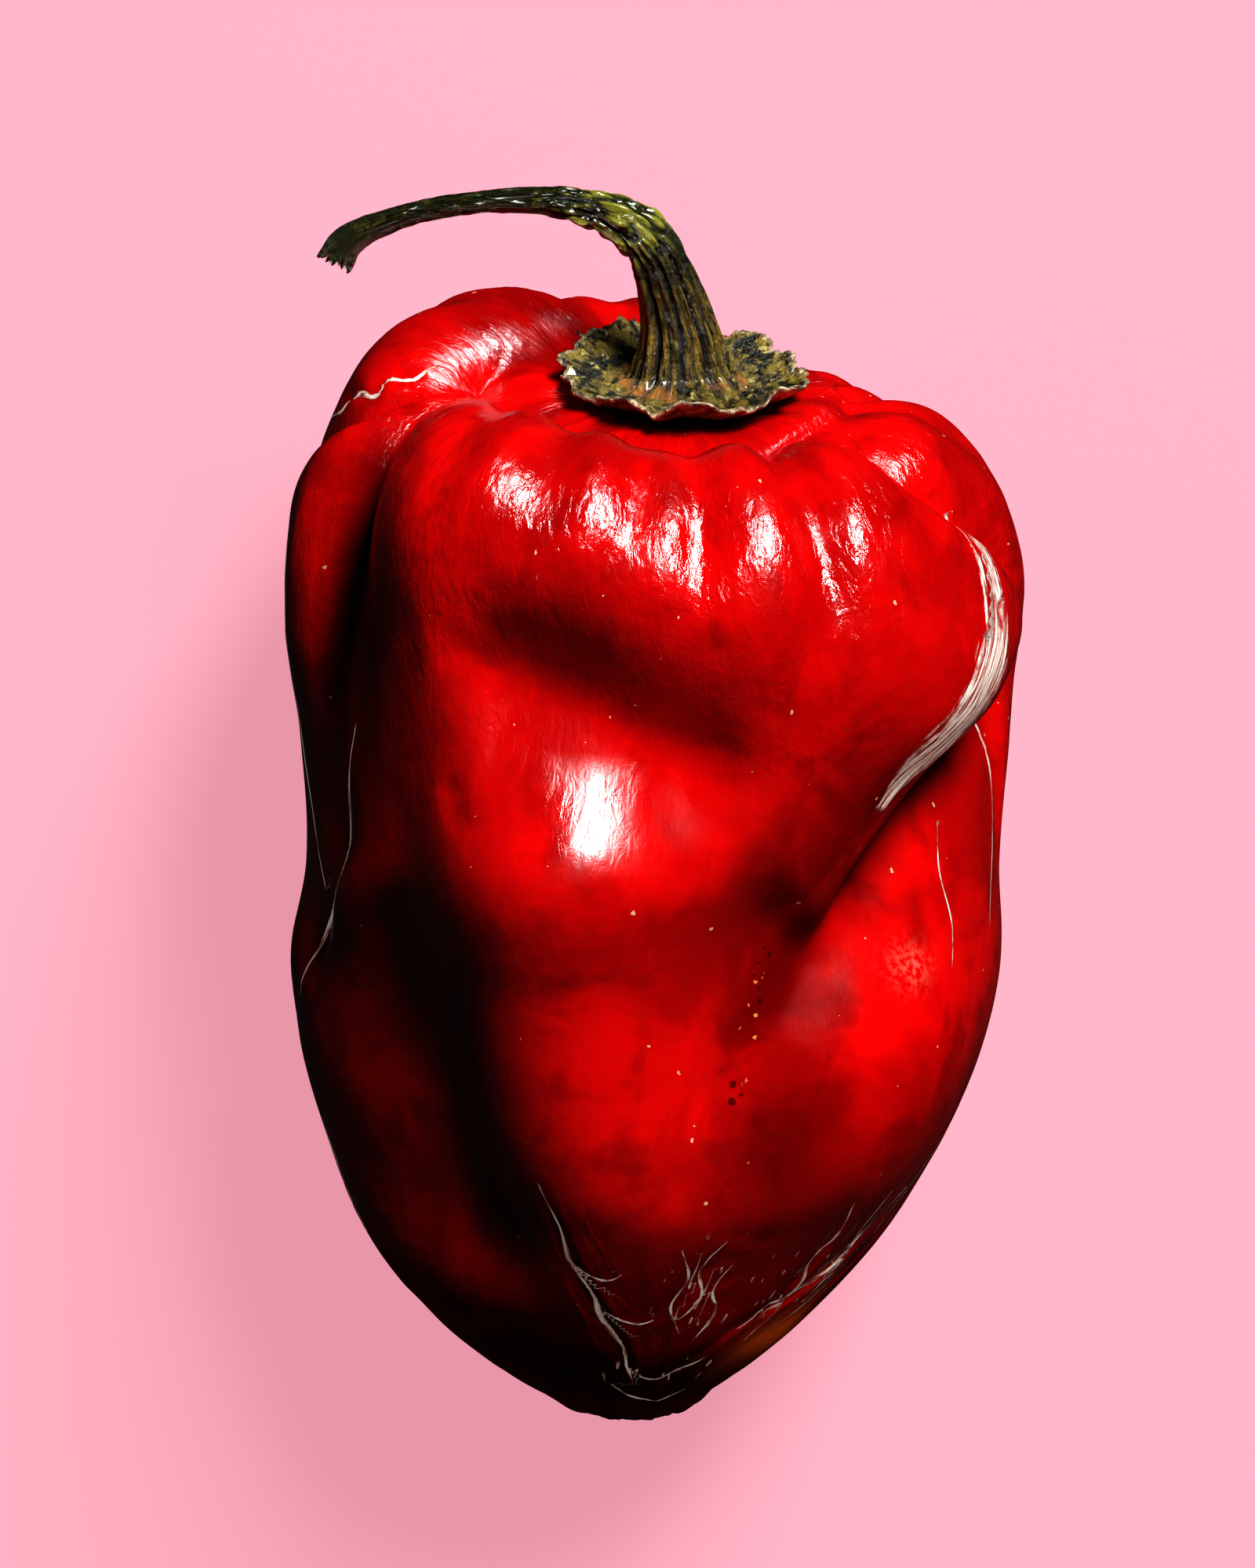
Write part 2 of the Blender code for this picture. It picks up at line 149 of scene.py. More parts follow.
# Fine creases of the skin: depth, reach left, reach right, lip, path
CREASES = [
    (0.24, 0.35, 0.50, 0.12, [(-15, 25), (-11, 21), (-6, 17), (1, 12.6), (6, 7)]),
    (0.16, 0.35, 0.50, 0.08, [(18, 21.5), (14, 18), (11, 15), (10, 10)]),
    (0.18, 0.35, 0.50, 0.10, [(40, 23.5), (41, 19), (39, 16), (34, 11)]),
    (0.18, 0.35, 0.50, 0.10, [(62, 21.5), (50, 17.4), (40, 15), (30, 13.6), (22, 11)]),
    (0.16, 0.35, 0.50, 0.08, [(72, 23), (62, 17), (50, 12), (38, 7)]),
    (0.14, 0.35, 0.50, 0.08, [(78, 26), (74, 20), (68, 14)]),
    (0.14, 0.30, 0.45, 0.08, [(-40, 14), (-34, 10.5), (-26, 7)]),
    (0.14, 0.30, 0.45, 0.08, [(26, 13), (19, 10), (12, 7.5)]),
    (0.16, 0.70, 0.70, 0.00, [(-34, 43.4), (-31, 43.0), (-28, 41.6)]),
    (0.34, 0.35, 0.45, 0.15, [(-101, 61.3), (-97, 60.0), (-98, 59.0), (-95, 58.0), (-100, 57.0), (-106, 55)]),
]
# Crinkles of the skin: height, and how many to a millimetre round the pod, again, and along it
CRINKLES = [(0.10, (0.45, 0.45, 0.22)), (0.05, (1.0, 1.0, 0.5))]


def smooth_path(points, count):
    """Catmull-Rom curve through the points, as points at equal steps of length."""
    points = np.asarray(points, float)
    ends = np.vstack([2 * points[0] - points[1], points, 2 * points[-1] - points[-2]])
    t = np.linspace(0.0, 1.0, 24, endpoint=False)[:, None]
    spans = []
    for a, b, c, d in zip(ends, ends[1:], ends[2:], ends[3:]):
        spans.append(0.5 * (2 * b + (c - a) * t + (2 * a - 5 * b + 4 * c - d) * t ** 2
                            + (3 * b - a - 3 * c + d) * t ** 3))
    curve = np.vstack(spans + [points[-1:]])
    length = np.concatenate([[0.0], np.cumsum(np.linalg.norm(np.diff(curve, axis=0), axis=1))])
    steps = np.linspace(0.0, length[-1], count)
    return np.column_stack([np.interp(steps, length, column) for column in curve.T]), steps


outline, outline_steps = smooth_path(np.array(OUTLINE) * POD_RADIUS, 400)
OUTLINE_LENGTH = outline_steps[-1]
drift = smooth_path(DRIFT, 200)[0]


def bare_pod(angle, along):
    """Points of the pod before its folds: the outline turned about the drifting middle line,
    flattened front to back, and tilted at the crown. Angles in radians, distances along it."""
    radius = np.interp(along, outline_steps, outline[:, 0])
    height = np.interp(along, outline_steps, outline[:, 1])
    depth = 0.5 * (UPPER_DEPTH + UNDER_DEPTH) + 0.5 * (UPPER_DEPTH - UNDER_DEPTH) * np.cos(angle)
    x = radius * np.sin(angle) + np.interp(along, drift[:, 0], drift[:, 1])
    y = -radius * np.cos(angle) * depth
    near_crown = np.clip((height - TILT_FROM) / (SHOULDER_HEIGHT - TILT_FROM), 0.0, 1.0) ** 2
    return np.stack([x, y, height - SHOULDER_TILT * x * near_crown], -1)


def bare_normal(angle, along):
    """Outward normals of the bare pod, by central differences kept off its two poles."""
    along = np.clip(along, 0.4, OUTLINE_LENGTH - 0.4)
    round_it = bare_pod(angle + 0.02, along) - bare_pod(angle - 0.02, along)
    up_it = bare_pod(angle, along + 0.2) - bare_pod(angle, along - 0.2)
    normal = np.cross(round_it, up_it)
    return normal / np.linalg.norm(normal, axis=-1, keepdims=True)


def beside_path(points, path):
    """For each point: distance from the path over the bare pod, whether it is on the path's left,
    and how far along the path it is, as a share."""
    path = smooth_path(path, 25)[0]
    angle = np.radians(path[:, 0])
    line = bare_pod(angle, path[:, 1])
    up = bare_normal(angle, path[:, 1])
    start, step = line[:-1], np.diff(line, axis=0)
    offset = points[:, None] - start
    share = np.clip((offset * step).sum(-1) / (step ** 2).sum(-1), 0.0, 1.0)
    offset = offset - share[..., None] * step
    gap = np.linalg.norm(offset, axis=-1)
    nearest = gap.argmin(axis=1)
    rows = np.arange(len(points))
    left = (offset[rows, nearest] * np.cross(up[nearest], step[nearest])).sum(-1) > 0
    return gap[rows, nearest], left, (nearest + share[rows, nearest]) / len(step)


def furrow(points, depth, reach_left, reach_right, lip, path):
    """Change of height from a furrow pressed in along a path. A fold, which has a lip, is sharp:
    exp(-gap / reach), with its lip raised on the left. A hollow is round: exp(-(gap / reach)^2).
    Both end within 3.5 reaches of the path and die out over its first and last quarter."""
    gap, left, place = beside_path(points, path)
    near = gap / np.where(left, reach_left, reach_right)
    if lip:
        rise = lip * np.where(left, near * np.exp(1 - near), 0.0)
        rise -= depth * np.exp(BLUNT - np.sqrt(near ** 2 + BLUNT ** 2))
    else:
        rise = -depth * np.exp(-near ** 2)
    ends = np.clip(np.minimum(place, 1 - place) / 0.28, 0.0, 1.0)
    return rise * np.clip(1 - (near / 3.5) ** 2, 0.0, 1.0) ** 2 * ends * ends * (3 - 2 * ends)


def swell(points, angle, along, height, reach_round, reach_along):
    """Change of height from a rounded swelling, height * exp(-distance^2), or from a dent."""
    angle = np.radians(angle)
    offset = points - bare_pod(angle, along)
    normal = bare_normal(angle, along)
    round_it = np.array([np.cos(angle), np.sin(angle), 0.0])
    up_it = np.cross(normal, round_it)
    share = (((offset @ round_it) / reach_round) ** 2 + ((offset @ up_it) / reach_along) ** 2
             + ((offset @ normal) / POD_RADIUS) ** 2)
    return height * np.exp(-share)


def rumple(points, seed):
    """Smooth noise from -1 to 1: a random height at each whole-number corner of space, blended
    between the eight corners round a point with 3t^2 - 2t^3."""
    corner = np.floor(points).astype(np.int64)
    t = points - corner
    t = t * t * (3 - 2 * t)
    total = 0.0
    for i in (0, 1):
        for j in (0, 1):
            for k in (0, 1):
                mixed = ((corner[..., 0] + i) * 374761393 + (corner[..., 1] + j) * 668265263
                         + (corner[..., 2] + k) * 2147483629 + seed * 974634777) & 0xFFFFFFFF
                mixed = ((mixed ^ (mixed >> 13)) * 1274126177) & 0xFFFFFFFF
                height = ((mixed ^ (mixed >> 16)) & 0xFFFFFF) / 0x7FFFFF - 1.0
                weight = (np.where(i, t[..., 0], 1 - t[..., 0]) * np.where(j, t[..., 1], 1 - t[..., 1])
                          * np.where(k, t[..., 2], 1 - t[..., 2]))
                total = total + height * weight
    return total


def skin_place(angle, along):
    """Coordinates that run with the skin, in millimetres: a drum round the pod, and along it."""
    return np.stack([POD_RADIUS * np.sin(angle), -POD_RADIUS * np.cos(angle), along], -1)


def between(value, low, high):
    """Smooth step from 0 at low to 1 at high."""
    t = np.clip((value - low) / (high - low), 0.0, 1.0)
    return t * t * (3 - 2 * t)


def leathery(along):
    """How strongly the skin is crinkled: most on the shoulders and at the blossom tip."""
    return 0.3 + 0.7 * between(along, 40, 52) + 0.5 * between(along, 14, 5)


def pod_surface(angle, along):
    """Points of the finished pod in its own frame: bare pod plus folds, hollows, valleys,
    swellings, creases and rumples, raised or sunk along the bare pod's normals."""
    shape = np.shape(angle)
    angle, along = np.ravel(angle), np.ravel(along)
    points = bare_pod(angle, along)
    rise = np.zeros(len(points))
    for fold in FOLDS + CREASES:
        rise += furrow(points, *fold)
    for depth, reach_left, reach_right, path in HOLLOWS:
        rise += furrow(points, depth, reach_left, reach_right, 0.0, path)
    for depth, reach, path in VALLEYS:
        rise += furrow(points, depth, reach, reach, 0.0, path)
    for place in SWELLS:
        rise += swell(points, *place)
    skin = skin_place(angle, along)
    for seed, (height, pitch) in enumerate(CRINKLES, 1):
        rise += height * leathery(along) * rumple(skin * pitch, seed)
    return (points + rise[:, None] * bare_normal(angle, along)).reshape(shape + (3,))


def lie_down(points):
    """Pod frame in millimetres to the resting fruit in metres, flattened where it touches."""
    lean = np.radians(LEAN)
    x, y, z = np.moveaxis(points, -1, 0)
    ahead = z * np.cos(lean) + y * np.sin(lean) - REST_ALONG
    height = z * np.sin(lean) - y * np.cos(lean) + TIP_HEIGHT
    return np.stack([x, ahead, np.maximum(height, 0.0)], -1) * MM


def closed_grid(name, first, rings, last):
    """A closed skin from a point, rings of points and a last point, shaded smooth. The rings run
    from the first point, turning left as seen from outside with the last point up."""
    rows, count = rings.shape[:2]
    points = np.vstack([first, rings.reshape(-1, 3), last])
    k = np.arange(count)
    after = (k + 1) % count
    below = 1 + count * np.arange(rows - 1)[:, None]
    walls = np.stack([below + k, below + after, below + count + after, below + count + k], -1)
    foot = np.stack([np.zeros(count, int), 1 + after, 1 + k], -1)
    head = 1 + count * (rows - 1)
    crown = np.stack([np.full(count, len(points) - 1), head + k, head + after], -1)
    mesh = bpy.data.meshes.new(name)
    mesh.from_pydata(points, [], walls.reshape(-1, 4).tolist() + foot.tolist() + crown.tolist())
    mesh.shade_smooth()
    piece = bpy.data.objects.new(name, mesh)
    bpy.context.scene.collection.objects.link(piece)
    return piece


def note_on(piece, name, values):
    """Keeps a number or a vector for each point of the piece, for its material to read."""
    kind, field = ("FLOAT_VECTOR", "vector") if np.ndim(values) > 1 else ("FLOAT", "value")
    layer = piece.data.attributes.new(name, kind, "POINT")
    layer.data.foreach_set(field, np.asarray(values, np.float32).ravel())


turned = np.linspace(-np.pi, np.pi, POD_AROUND, endpoint=False)
turned = turned - CLOSER_ON_TOP * np.sin(turned)
share = np.linspace(0, 1, POD_ROWS + 1)
along_pod = OUTLINE_LENGTH * (share - CLOSER_ROWS * np.sin(2 * np.pi * share) / (2 * np.pi))
angle_grid, along_grid = np.meshgrid(turned, along_pod[1:-1])
low, high = (np.array(corner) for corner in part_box("pod"))
pod_points = np.clip(lie_down(pod_surface(angle_grid, along_grid)), low, high)
pod_ends = np.clip(lie_down(pod_surface(np.zeros(2), along_pod[[0, -1]])), low, high)
pod = closed_grid("red_pod", pod_ends[0], pod_points, pod_ends[1])

angle_all = np.concatenate([[0.0], angle_grid.ravel(), [0.0]])
along_all = np.concatenate([[0.0], along_grid.ravel(), [OUTLINE_LENGTH]])
bare_points = bare_pod(angle_all, along_all)
note_on(pod, "skin_place", skin_place(angle_all, along_all))
note_on(pod, "leathery", leathery(along_all))

# Each mark is laid out as if 22 mm long, and 40 mm on from the last, so that no two share fibres
LEAST_REACH = 1.0
MARK_LENGTH, MARKS_APART = 22.0, 40.0
TAPERED_TO, TAPERED_OVER = 0.3, 0.35


def nearest_of(marks):
    """Of marks given as reach and path: how near the nearest one is, 1 on its path and 0 at its
    reach or a millimetre, less what the next one takes; and for it the place beside it and along
    it, with its reach there, which tapers to both ends."""
    felt, rival = np.zeros(len(bare_points)), np.zeros(len(bare_points))
    where = np.zeros((len(bare_points), 3))
    for number, (reach, path) in enumerate(marks):
        gap, left, place = beside_path(bare_points, path)
        from_end = np.minimum(place, 1 - place)
        strength = np.clip(1 - gap / max(reach, LEAST_REACH), 0.0, 1.0) * between(from_end, 0.0, 0.12)
        wins = strength > felt
        rival = np.where(wins, felt, np.maximum(rival, strength))
        felt = np.where(wins, strength, felt)
        tapered = reach * (TAPERED_TO + (1 - TAPERED_TO) * between(from_end, 0.0, TAPERED_OVER))
        run = MARK_LENGTH * place + MARKS_APART * number
        here = np.stack([np.where(left, gap, -gap), run, tapered], -1)
        where[wins] = here[wins]
    return felt - rival, where


# Skin drawn into fine wrinkles that run beside a fold or a crease, as reach and path
PULLED = [
    (2.6, [(28, 36), (36, 40), (44, 43.6), (53, 47), (60, 51), (68, 56)]),
    (2.2, [(-90, 62.5), (-77, 57.5), (-70, 53), (-65, 47.5), (-63, 42)]),
    (2.6, [(-15, 25), (-11, 21), (-6, 17), (1, 12.6), (6, 7)]),
    (2.8, [(18, 22), (14, 18), (11, 13), (10, 8)]),
    (3.5, [(76, 25), (64, 18), (50, 13), (34, 6)]),
]
felt, where = nearest_of(PULLED)
note_on(pod, "pulled", felt)
note_on(pod, "pulled_place", where)

# Painted highlights, laid out as pale silvery lines: the broad band over the right fold, and
# hair-fine ones along edges and creases; the last one is a real corky scar
GLINTS_AND_SCAR = [
    (1.6, [(38, 41.4), (42, 43.4), (47, 44.9), (51, 46.3), (55, 48.2), (59, 50.0), (62, 52)]),
    (0.6, [(57, 48.6), (61, 51.4), (64, 53.4), (66, 55)]),
    (0.25, [(54, 49), (58, 52), (61, 54.6)]),
    (0.12, [(75, 33), (79, 37), (81, 40.5), (78, 43), (71, 45.5)]),
    (0.17, [(-56, 44.5), (-59, 41.5), (-62, 37.5), (-68, 34.8), (-76, 32), (-81, 29)]),
    (0.16, [(-88, 51), (-87, 47), (-83, 43), (-77, 38), (-72, 35)]),
    (0.14, [(-84, 24), (-80, 20), (-74, 16.5)]),
    (0.17, [(-16, 25), (-12, 22), (-11, 20), (-6, 17.4), (-5, 15.6), (1, 12.6), (2, 10.8), (6, 8)]),
    (0.10, [(-10, 19.6), (-4, 18.8), (-1, 19.2)]),
    (0.10, [(-5, 16.4), (3, 15.2), (8, 15.6)]),
    (0.10, [(9, 21), (12, 18.6), (10, 16.4), (14, 14)]),
    (0.10, [(17, 21.4), (14, 19.2), (16, 17), (12, 15)]),
    (0.10, [(20, 19.5), (18, 17.5), (21, 15.5), (18, 13)]),
    (0.12, [(2, 11), (10, 9.4), (18, 9.8), (26, 11.6)]),
    (0.12, [(-4, 9), (4, 7.2), (16, 6.4), (28, 7.4)]),
    (0.07, [(61, 39), (59, 36.8), (60, 34.4), (58, 32.5)]),
    (0.10, [(40, 22.6), (42, 20), (40, 18.2), (41, 16), (36, 12)]),
    (0.10, [(52, 22), (50, 19.6), (52, 17.6), (47, 14)]),
    (0.12, [(62, 21.4), (55, 19.4), (50, 17), (41, 15.4), (30, 13.4)]),
    (0.11, [(70, 23), (64, 20.4), (61, 17.6), (52, 14.6), (44, 12.6)]),
    (0.15, [(-101, 61.5), (-97, 60.2), (-98, 59.2), (-95, 58.2), (-100, 57.2), (-99, 56.2), (-106, 55)]),
]
felt, where = nearest_of(GLINTS_AND_SCAR)
note_on(pod, "glints_and_scar", felt)
note_on(pod, "glints_and_scar_place", where)

# Painted shade, as darker skin in the clefts and over broad patches where the fruit lies in shade: strength,
# reach left, reach right, path
PAINTED_SHADE = [
    (1.00, 1.5, 4.4, [(27, 33), (34, 37), (42, 40.2), (52, 42.6), (64, 44), (76, 44.4)]),
    (0.70, 3.2, 2.8, [(14, 27), (18, 31), (26, 34.5), (35, 37.5), (44, 40)]),
    (0.90, 3.6, 2.6, [(-80, 61), (-74, 56), (-68, 51), (-64, 45), (-62, 39)]),
    (0.60, 4.8, 2.0, [(10, 35), (20, 38), (34, 40.8), (46, 43), (58, 45)]),
    (0.55, 3.6, 3.6, [(28, 36), (25, 31), (22, 27), (20, 22)]),
    (0.55, 2.0, 3.4, [(-36, 37), (-31, 30), (-27, 24), (-20, 16)]),
    (0.45, 3.0, 3.0, [(-46, 52), (-52, 46), (-52, 40), (-44, 34)]),
    (0.60, 5.0, 5.0, [(-60, 17), (-30, 11), (20, 9), (60, 12), (80, 18)]),
]
painted_shade = np.zeros(len(bare_points))
for strength, reach_left, reach_right, path in PAINTED_SHADE:
    gap, left, place = beside_path(bare_points, path)
    near = gap / np.where(left, reach_left, reach_right)
    ends = between(np.minimum(place, 1 - place), 0.0, 0.25)
    painted_shade = np.maximum(painted_shade, strength * ends * between(near, 1.0, 0.15))
note_on(pod, "painted_shade", painted_shade)

# Marks: the corky seam down the front, a painted orange glow by the tip, a painted pale highlight on the
# right
SEAM = [(21, 35.5), (18, 33), (16.5, 30.5), (16, 28), (16, 24)]
SEAM_REACH = 0.7
gap, left, place = beside_path(bare_points, SEAM)
from_end = np.minimum(place, 1 - place)
note_on(pod, "seam", np.clip(1 - gap / SEAM_REACH, 0.0, 1.0) * between(from_end, 0.0, 0.1))
note_on(pod, "painted_glow_patch", swell(bare_points, 48, 11.4, 1.0, 2.0, 2.4))
note_on(pod, "painted_soft_highlight", swell(bare_points, 48, 33.2, 1.0, 1.1, 0.9))

# Skin that dried dull, as place and reaches: round the front bulge, under the right fold, by the
# calyx, and at the blossom tip; then the patches of the tip that get painted glints
DULL = [(-9, 46.4, 5.5, 1.9), (4.5, 42.3, 2.3, 2.6), (31, 32, 4.5, 5.0), (42, 30, 4.0, 4.5),
        (-135, 67.5, 3.5, 2.5)]
TIP_GLINTS = [(15, 18, 1.0, 1.7, 3.2), (14, 10, 1.0, 3.0, 1.6), (45, 17, 0.8, 5.0, 3.2)]
DULLNESS = 1.3
dull = sum(DULLNESS * swell(bare_points, angle, along, 1.0, *reaches) for angle, along, *reaches in DULL)
tip_glints = sum(swell(bare_points, *place) for place in TIP_GLINTS)
note_on(pod, "dull", np.clip(dull + between(along_all, 22, 12), 0.0, 1.0))
note_on(pod, "tip_glints", np.clip(tip_glints, 0.0, 1.0))


def wire(tree, kind, inputs=None, **settings):
    """One node of a material: its settings, then each input as a value or another node's output."""
    made = tree.nodes.new(kind)
    for name, value in settings.items():
        setattr(made, name, value)
    for key, value in (inputs or {}).items():
        if isinstance(value, bpy.types.NodeSocket):
            tree.links.new(value, made.inputs[key])
        else:
            made.inputs[key].default_value = value
    return made


def sums(tree, operation, *values):
    """The result of one sum, clamped nowhere."""
    return wire(tree, "ShaderNodeMath", dict(enumerate(values)), operation=operation).outputs[0]


def ease(tree, value, low, high, to_low=0.0, to_high=1.0):
    """Smooth step of a value from one range to another."""
    return wire(tree, "ShaderNodeMapRange", {0: value, 1: low, 2: high, 3: to_low, 4: to_high},
                interpolation_type="SMOOTHSTEP").outputs[0]


def tint(tree, share, first, second):
    """First colour where share is 0, second where it is 1."""
    return wire(tree, "ShaderNodeMix", {0: share, 6: first, 7: second}, data_type="RGBA").outputs[2]


def grain(tree, place, scale, detail=2.0, rough=0.5, distort=0.0, kind="FBM"):
    """Cloudy noise between 0 and 1."""
    return wire(tree, "ShaderNodeTexNoise",
                {"Vector": place, "Scale": scale, "Detail": detail, "Roughness": rough,
                 "Distortion": distort}, noise_type=kind).outputs["Fac"]


def stretch(tree, place, scale, turn=(0.0, 0.0, 0.0)):
    """The place, scaled along its three directions."""
    return wire(tree, "ShaderNodeMapping", {"Vector": place, "Scale": scale, "Rotation": turn}).outputs[0]


def kept(tree, name, output="Fac"):
    """A number or vector kept on the piece's points."""
    return wire(tree, "ShaderNodeAttribute", attribute_name=name).outputs[output]


def finish_for(name, roughness, specular=0.5):
    """A new material, with its tree and its shader."""
    material = bpy.data.materials.new(name)
    material.use_nodes = True
    tree = material.node_tree
    shader = tree.nodes["Principled BSDF"]
    shader.inputs["Roughness"].default_value = roughness
    shader.inputs["Specular IOR Level"].default_value = specular
    return material, tree, shader


# Flecks: tiny grown-in dots, one in each cell that is picked, for specks, lint, pits and dashes
flecks = bpy.data.node_groups.new("flecks", "ShaderNodeTree")
for label, kind in (("Place", "NodeSocketVector"), ("Cells", "NodeSocketFloat"),
                    ("Size", "NodeSocketFloat"), ("Picked", "NodeSocketFloat")):
    flecks.interface.new_socket(label, in_out="INPUT", socket_type=kind)
flecks.interface.new_socket("Mask", in_out="OUTPUT", socket_type="NodeSocketFloat")
given = flecks.nodes.new("NodeGroupInput").outputs
wobble = wire(flecks, "ShaderNodeTexNoise",
              {"Vector": given["Place"], "Scale": given["Cells"], "Detail": 3.0})
moved = wire(flecks, "ShaderNodeVectorMath", {0: wobble.outputs["Color"], 1: (0.5, 0.5, 0.5)},
             operation="SUBTRACT").outputs[0]
sideways = wire(flecks, "ShaderNodeVectorMath",
                {0: moved, 3: sums(flecks, "DIVIDE", 0.9, given["Cells"])}, operation="SCALE").outputs[0]
moved = wire(flecks, "ShaderNodeVectorMath", {0: given["Place"], 1: sideways}, operation="ADD").outputs[0]
cells = wire(flecks, "ShaderNodeTexVoronoi", {"Vector": moved, "Scale": given["Cells"]})
lot = wire(flecks, "ShaderNodeSeparateColor", {0: cells.outputs["Color"]})
own_size = sums(flecks, "MULTIPLY", given["Size"], sums(flecks, "ADD", lot.outputs[1], 0.3))
dot = sums(flecks, "LESS_THAN", cells.outputs["Distance"], own_size)
chosen = sums(flecks, "LESS_THAN", lot.outputs[0], given["Picked"])
out = flecks.nodes.new("NodeGroupOutput")
flecks.links.new(sums(flecks, "MULTIPLY", dot, chosen), out.inputs["Mask"])


def flecked(tree, place, cells, size, picked):
    """Mask of the flecks group with its own cells per unit, dot size and share of cells."""
    group = wire(tree, "ShaderNodeGroup", node_tree=flecks)
    tree.links.new(place, group.inputs["Place"])
    for label, value in (("Cells", cells), ("Size", size), ("Picked", picked)):
        group.inputs[label].default_value = value
    return group.outputs["Mask"]


material, tree, shader = finish_for("glossy_red_skin", 0.2)
skin = kept(tree, "skin_place", "Vector")
rough_skin = kept(tree, "leathery")
pulled = kept(tree, "pulled")
pulled_at = kept(tree, "pulled_place", "Vector")
glints_and_scar = kept(tree, "glints_and_scar")
painted_shade = kept(tree, "painted_shade")

# Ripe red in soft clouds, with deeper blotches and streaks, then painted shade in the clefts, a painted
# orange glow by the tip, a painted pale highlight on the right lobe, pale specks and lint
clouds = grain(tree, skin, 0.14, 4.0, 0.6, 0.4)
streaks = grain(tree, stretch(tree, skin, (1.0, 1.0, 0.22)), 1.1, 4.0, 0.6)
blotches = grain(tree, skin, 0.36, 3.0, 0.55, 0.3)
red = tint(tree, ease(tree, clouds, 0.35, 0.65), (0.46, 0.0006, 0.0014, 1), (0.78, 0.0018, 0.0024, 1))
red = tint(tree, ease(tree, blotches, 0.50, 0.72, 0.0, 0.55), red, (0.26, 0.0003, 0.0008, 1))
red = tint(tree, ease(tree, streaks, 0.55, 0.8, 0.0, 0.22), red, (0.42, 0.0006, 0.0012, 1))
# Painted shade: the clefts darken the red nearly to black
red = tint(tree, sums(tree, "MULTIPLY", painted_shade, 0.93), red, (0.012, 0.0001, 0.0002, 1))
# Painted glow: orange by the tip, as of light coming through thin flesh
red = tint(tree, ease(tree, kept(tree, "painted_glow_patch"), 0.25, 0.7), red, (0.72, 0.11, 0.004, 1))
# Painted highlight: a small pale smudge on the right lobe, broken up by noise
patch_breakup = ease(tree, grain(tree, skin, 3.0, 4.0, 0.6), 0.42, 0.62)
soft_highlight_patch = sums(tree, "MULTIPLY", kept(tree, "painted_soft_highlight"), patch_breakup)
red = tint(tree, sums(tree, "MULTIPLY", soft_highlight_patch, 0.5), red, (0.85, 0.26, 0.20, 1))
pale = flecked(tree, skin, 0.9, 0.075, 0.45)
red = tint(tree, pale, red, (0.84, 0.50, 0.30, 1))
lint = flecked(tree, stretch(tree, skin, (1.0, 1.0, 0.13), (0.0, 0.5, 0.2)), 1.0, 0.030, 0.10)
red = tint(tree, sums(tree, "MULTIPLY", lint, 0.7), red, (0.80, 0.42, 0.36, 1))

# The seam is a scatter of small dark pits, with a few specks of yellow cork
seam = kept(tree, "seam")
pitted = sums(tree, "MULTIPLY", ease(tree, seam, 0.05, 0.3), flecked(tree, skin, 1.7, 0.26, 0.50))
corked = sums(tree, "MULTIPLY", ease(tree, seam, 0.1, 0.4), flecked(tree, skin, 2.3, 0.22, 0.26))
red = tint(tree, sums(tree, "MULTIPLY", pitted, 0.8), red, (0.06, 0.002, 0.002, 1))
red = tint(tree, sums(tree, "MULTIPLY", corked, 0.8), red, (0.80, 0.34, 0.09, 1))

# Painted highlights along the lines, and the scar: pale fibres that run with the mark, broken by skin that
# stayed red
marked_at = kept(tree, "glints_and_scar_place", "Vector")
across = wire(tree, "ShaderNodeSeparateXYZ", {0: marked_at})
fibre = grain(tree, stretch(tree, marked_at, (6.0, 0.20, 0.0)), 1.0, 4.0, 0.65, 0.3)
blotch = grain(tree, stretch(tree, marked_at, (0.9, 0.45, 0.0)), 1.0, 3.0, 0.6)
near = sums(tree, "DIVIDE", sums(tree, "ABSOLUTE", across.outputs[0]), across.outputs[2])
solid = sums(tree, "SUBTRACT", 1.0, near)
glint_and_scar_mask = sums(tree, "MULTIPLY_ADD", fibre, 1.9, sums(tree, "MULTIPLY_ADD", blotch, 1.3, solid))
glint_and_scar_mask = sums(tree, "MULTIPLY", ease(tree, glint_and_scar_mask, 1.65, 2.25), ease(tree, near, 1.0, 0.75))
glint_and_scar_mask = sums(tree, "MULTIPLY", glint_and_scar_mask, ease(tree, glints_and_scar, 0.0, 0.12))
# Painted glints: pale dashes at the blossom tip, joined to the painted highlight lines
painted_tip_glints = flecked(tree, stretch(tree, skin, (1.5, 1.5, 0.50), (0.0, 0.4, 0.0)), 1.3, 0.24, 0.70)
painted_tip_glints = sums(tree, "MULTIPLY", painted_tip_glints, ease(tree, kept(tree, "tip_glints"), 0.2, 0.5))
glint_and_scar_mask = sums(tree, "MAXIMUM", glint_and_scar_mask, painted_tip_glints)
glint_and_scar_colour = tint(tree, ease(tree, fibre, 0.40, 0.58), (0.34, 0.07, 0.05, 1), (0.92, 0.80, 0.70, 1))
red = tint(tree, glint_and_scar_mask, red, glint_and_scar_colour)
# Painted glow: the orange patch by the tip, the pale lines and the tip's dashes give off a little light
painted_glow = tint(tree, kept(tree, "painted_glow_patch"), (0, 0, 0, 1), (0.55, 0.10, 0.002, 1))
tree.links.new(tint(tree, glint_and_scar_mask, painted_glow, glint_and_scar_colour), shader.inputs["Emission Color"])
shader.inputs["Emission Strength"].default_value = 0.22
tree.links.new(red, shader.inputs["Base Color"])

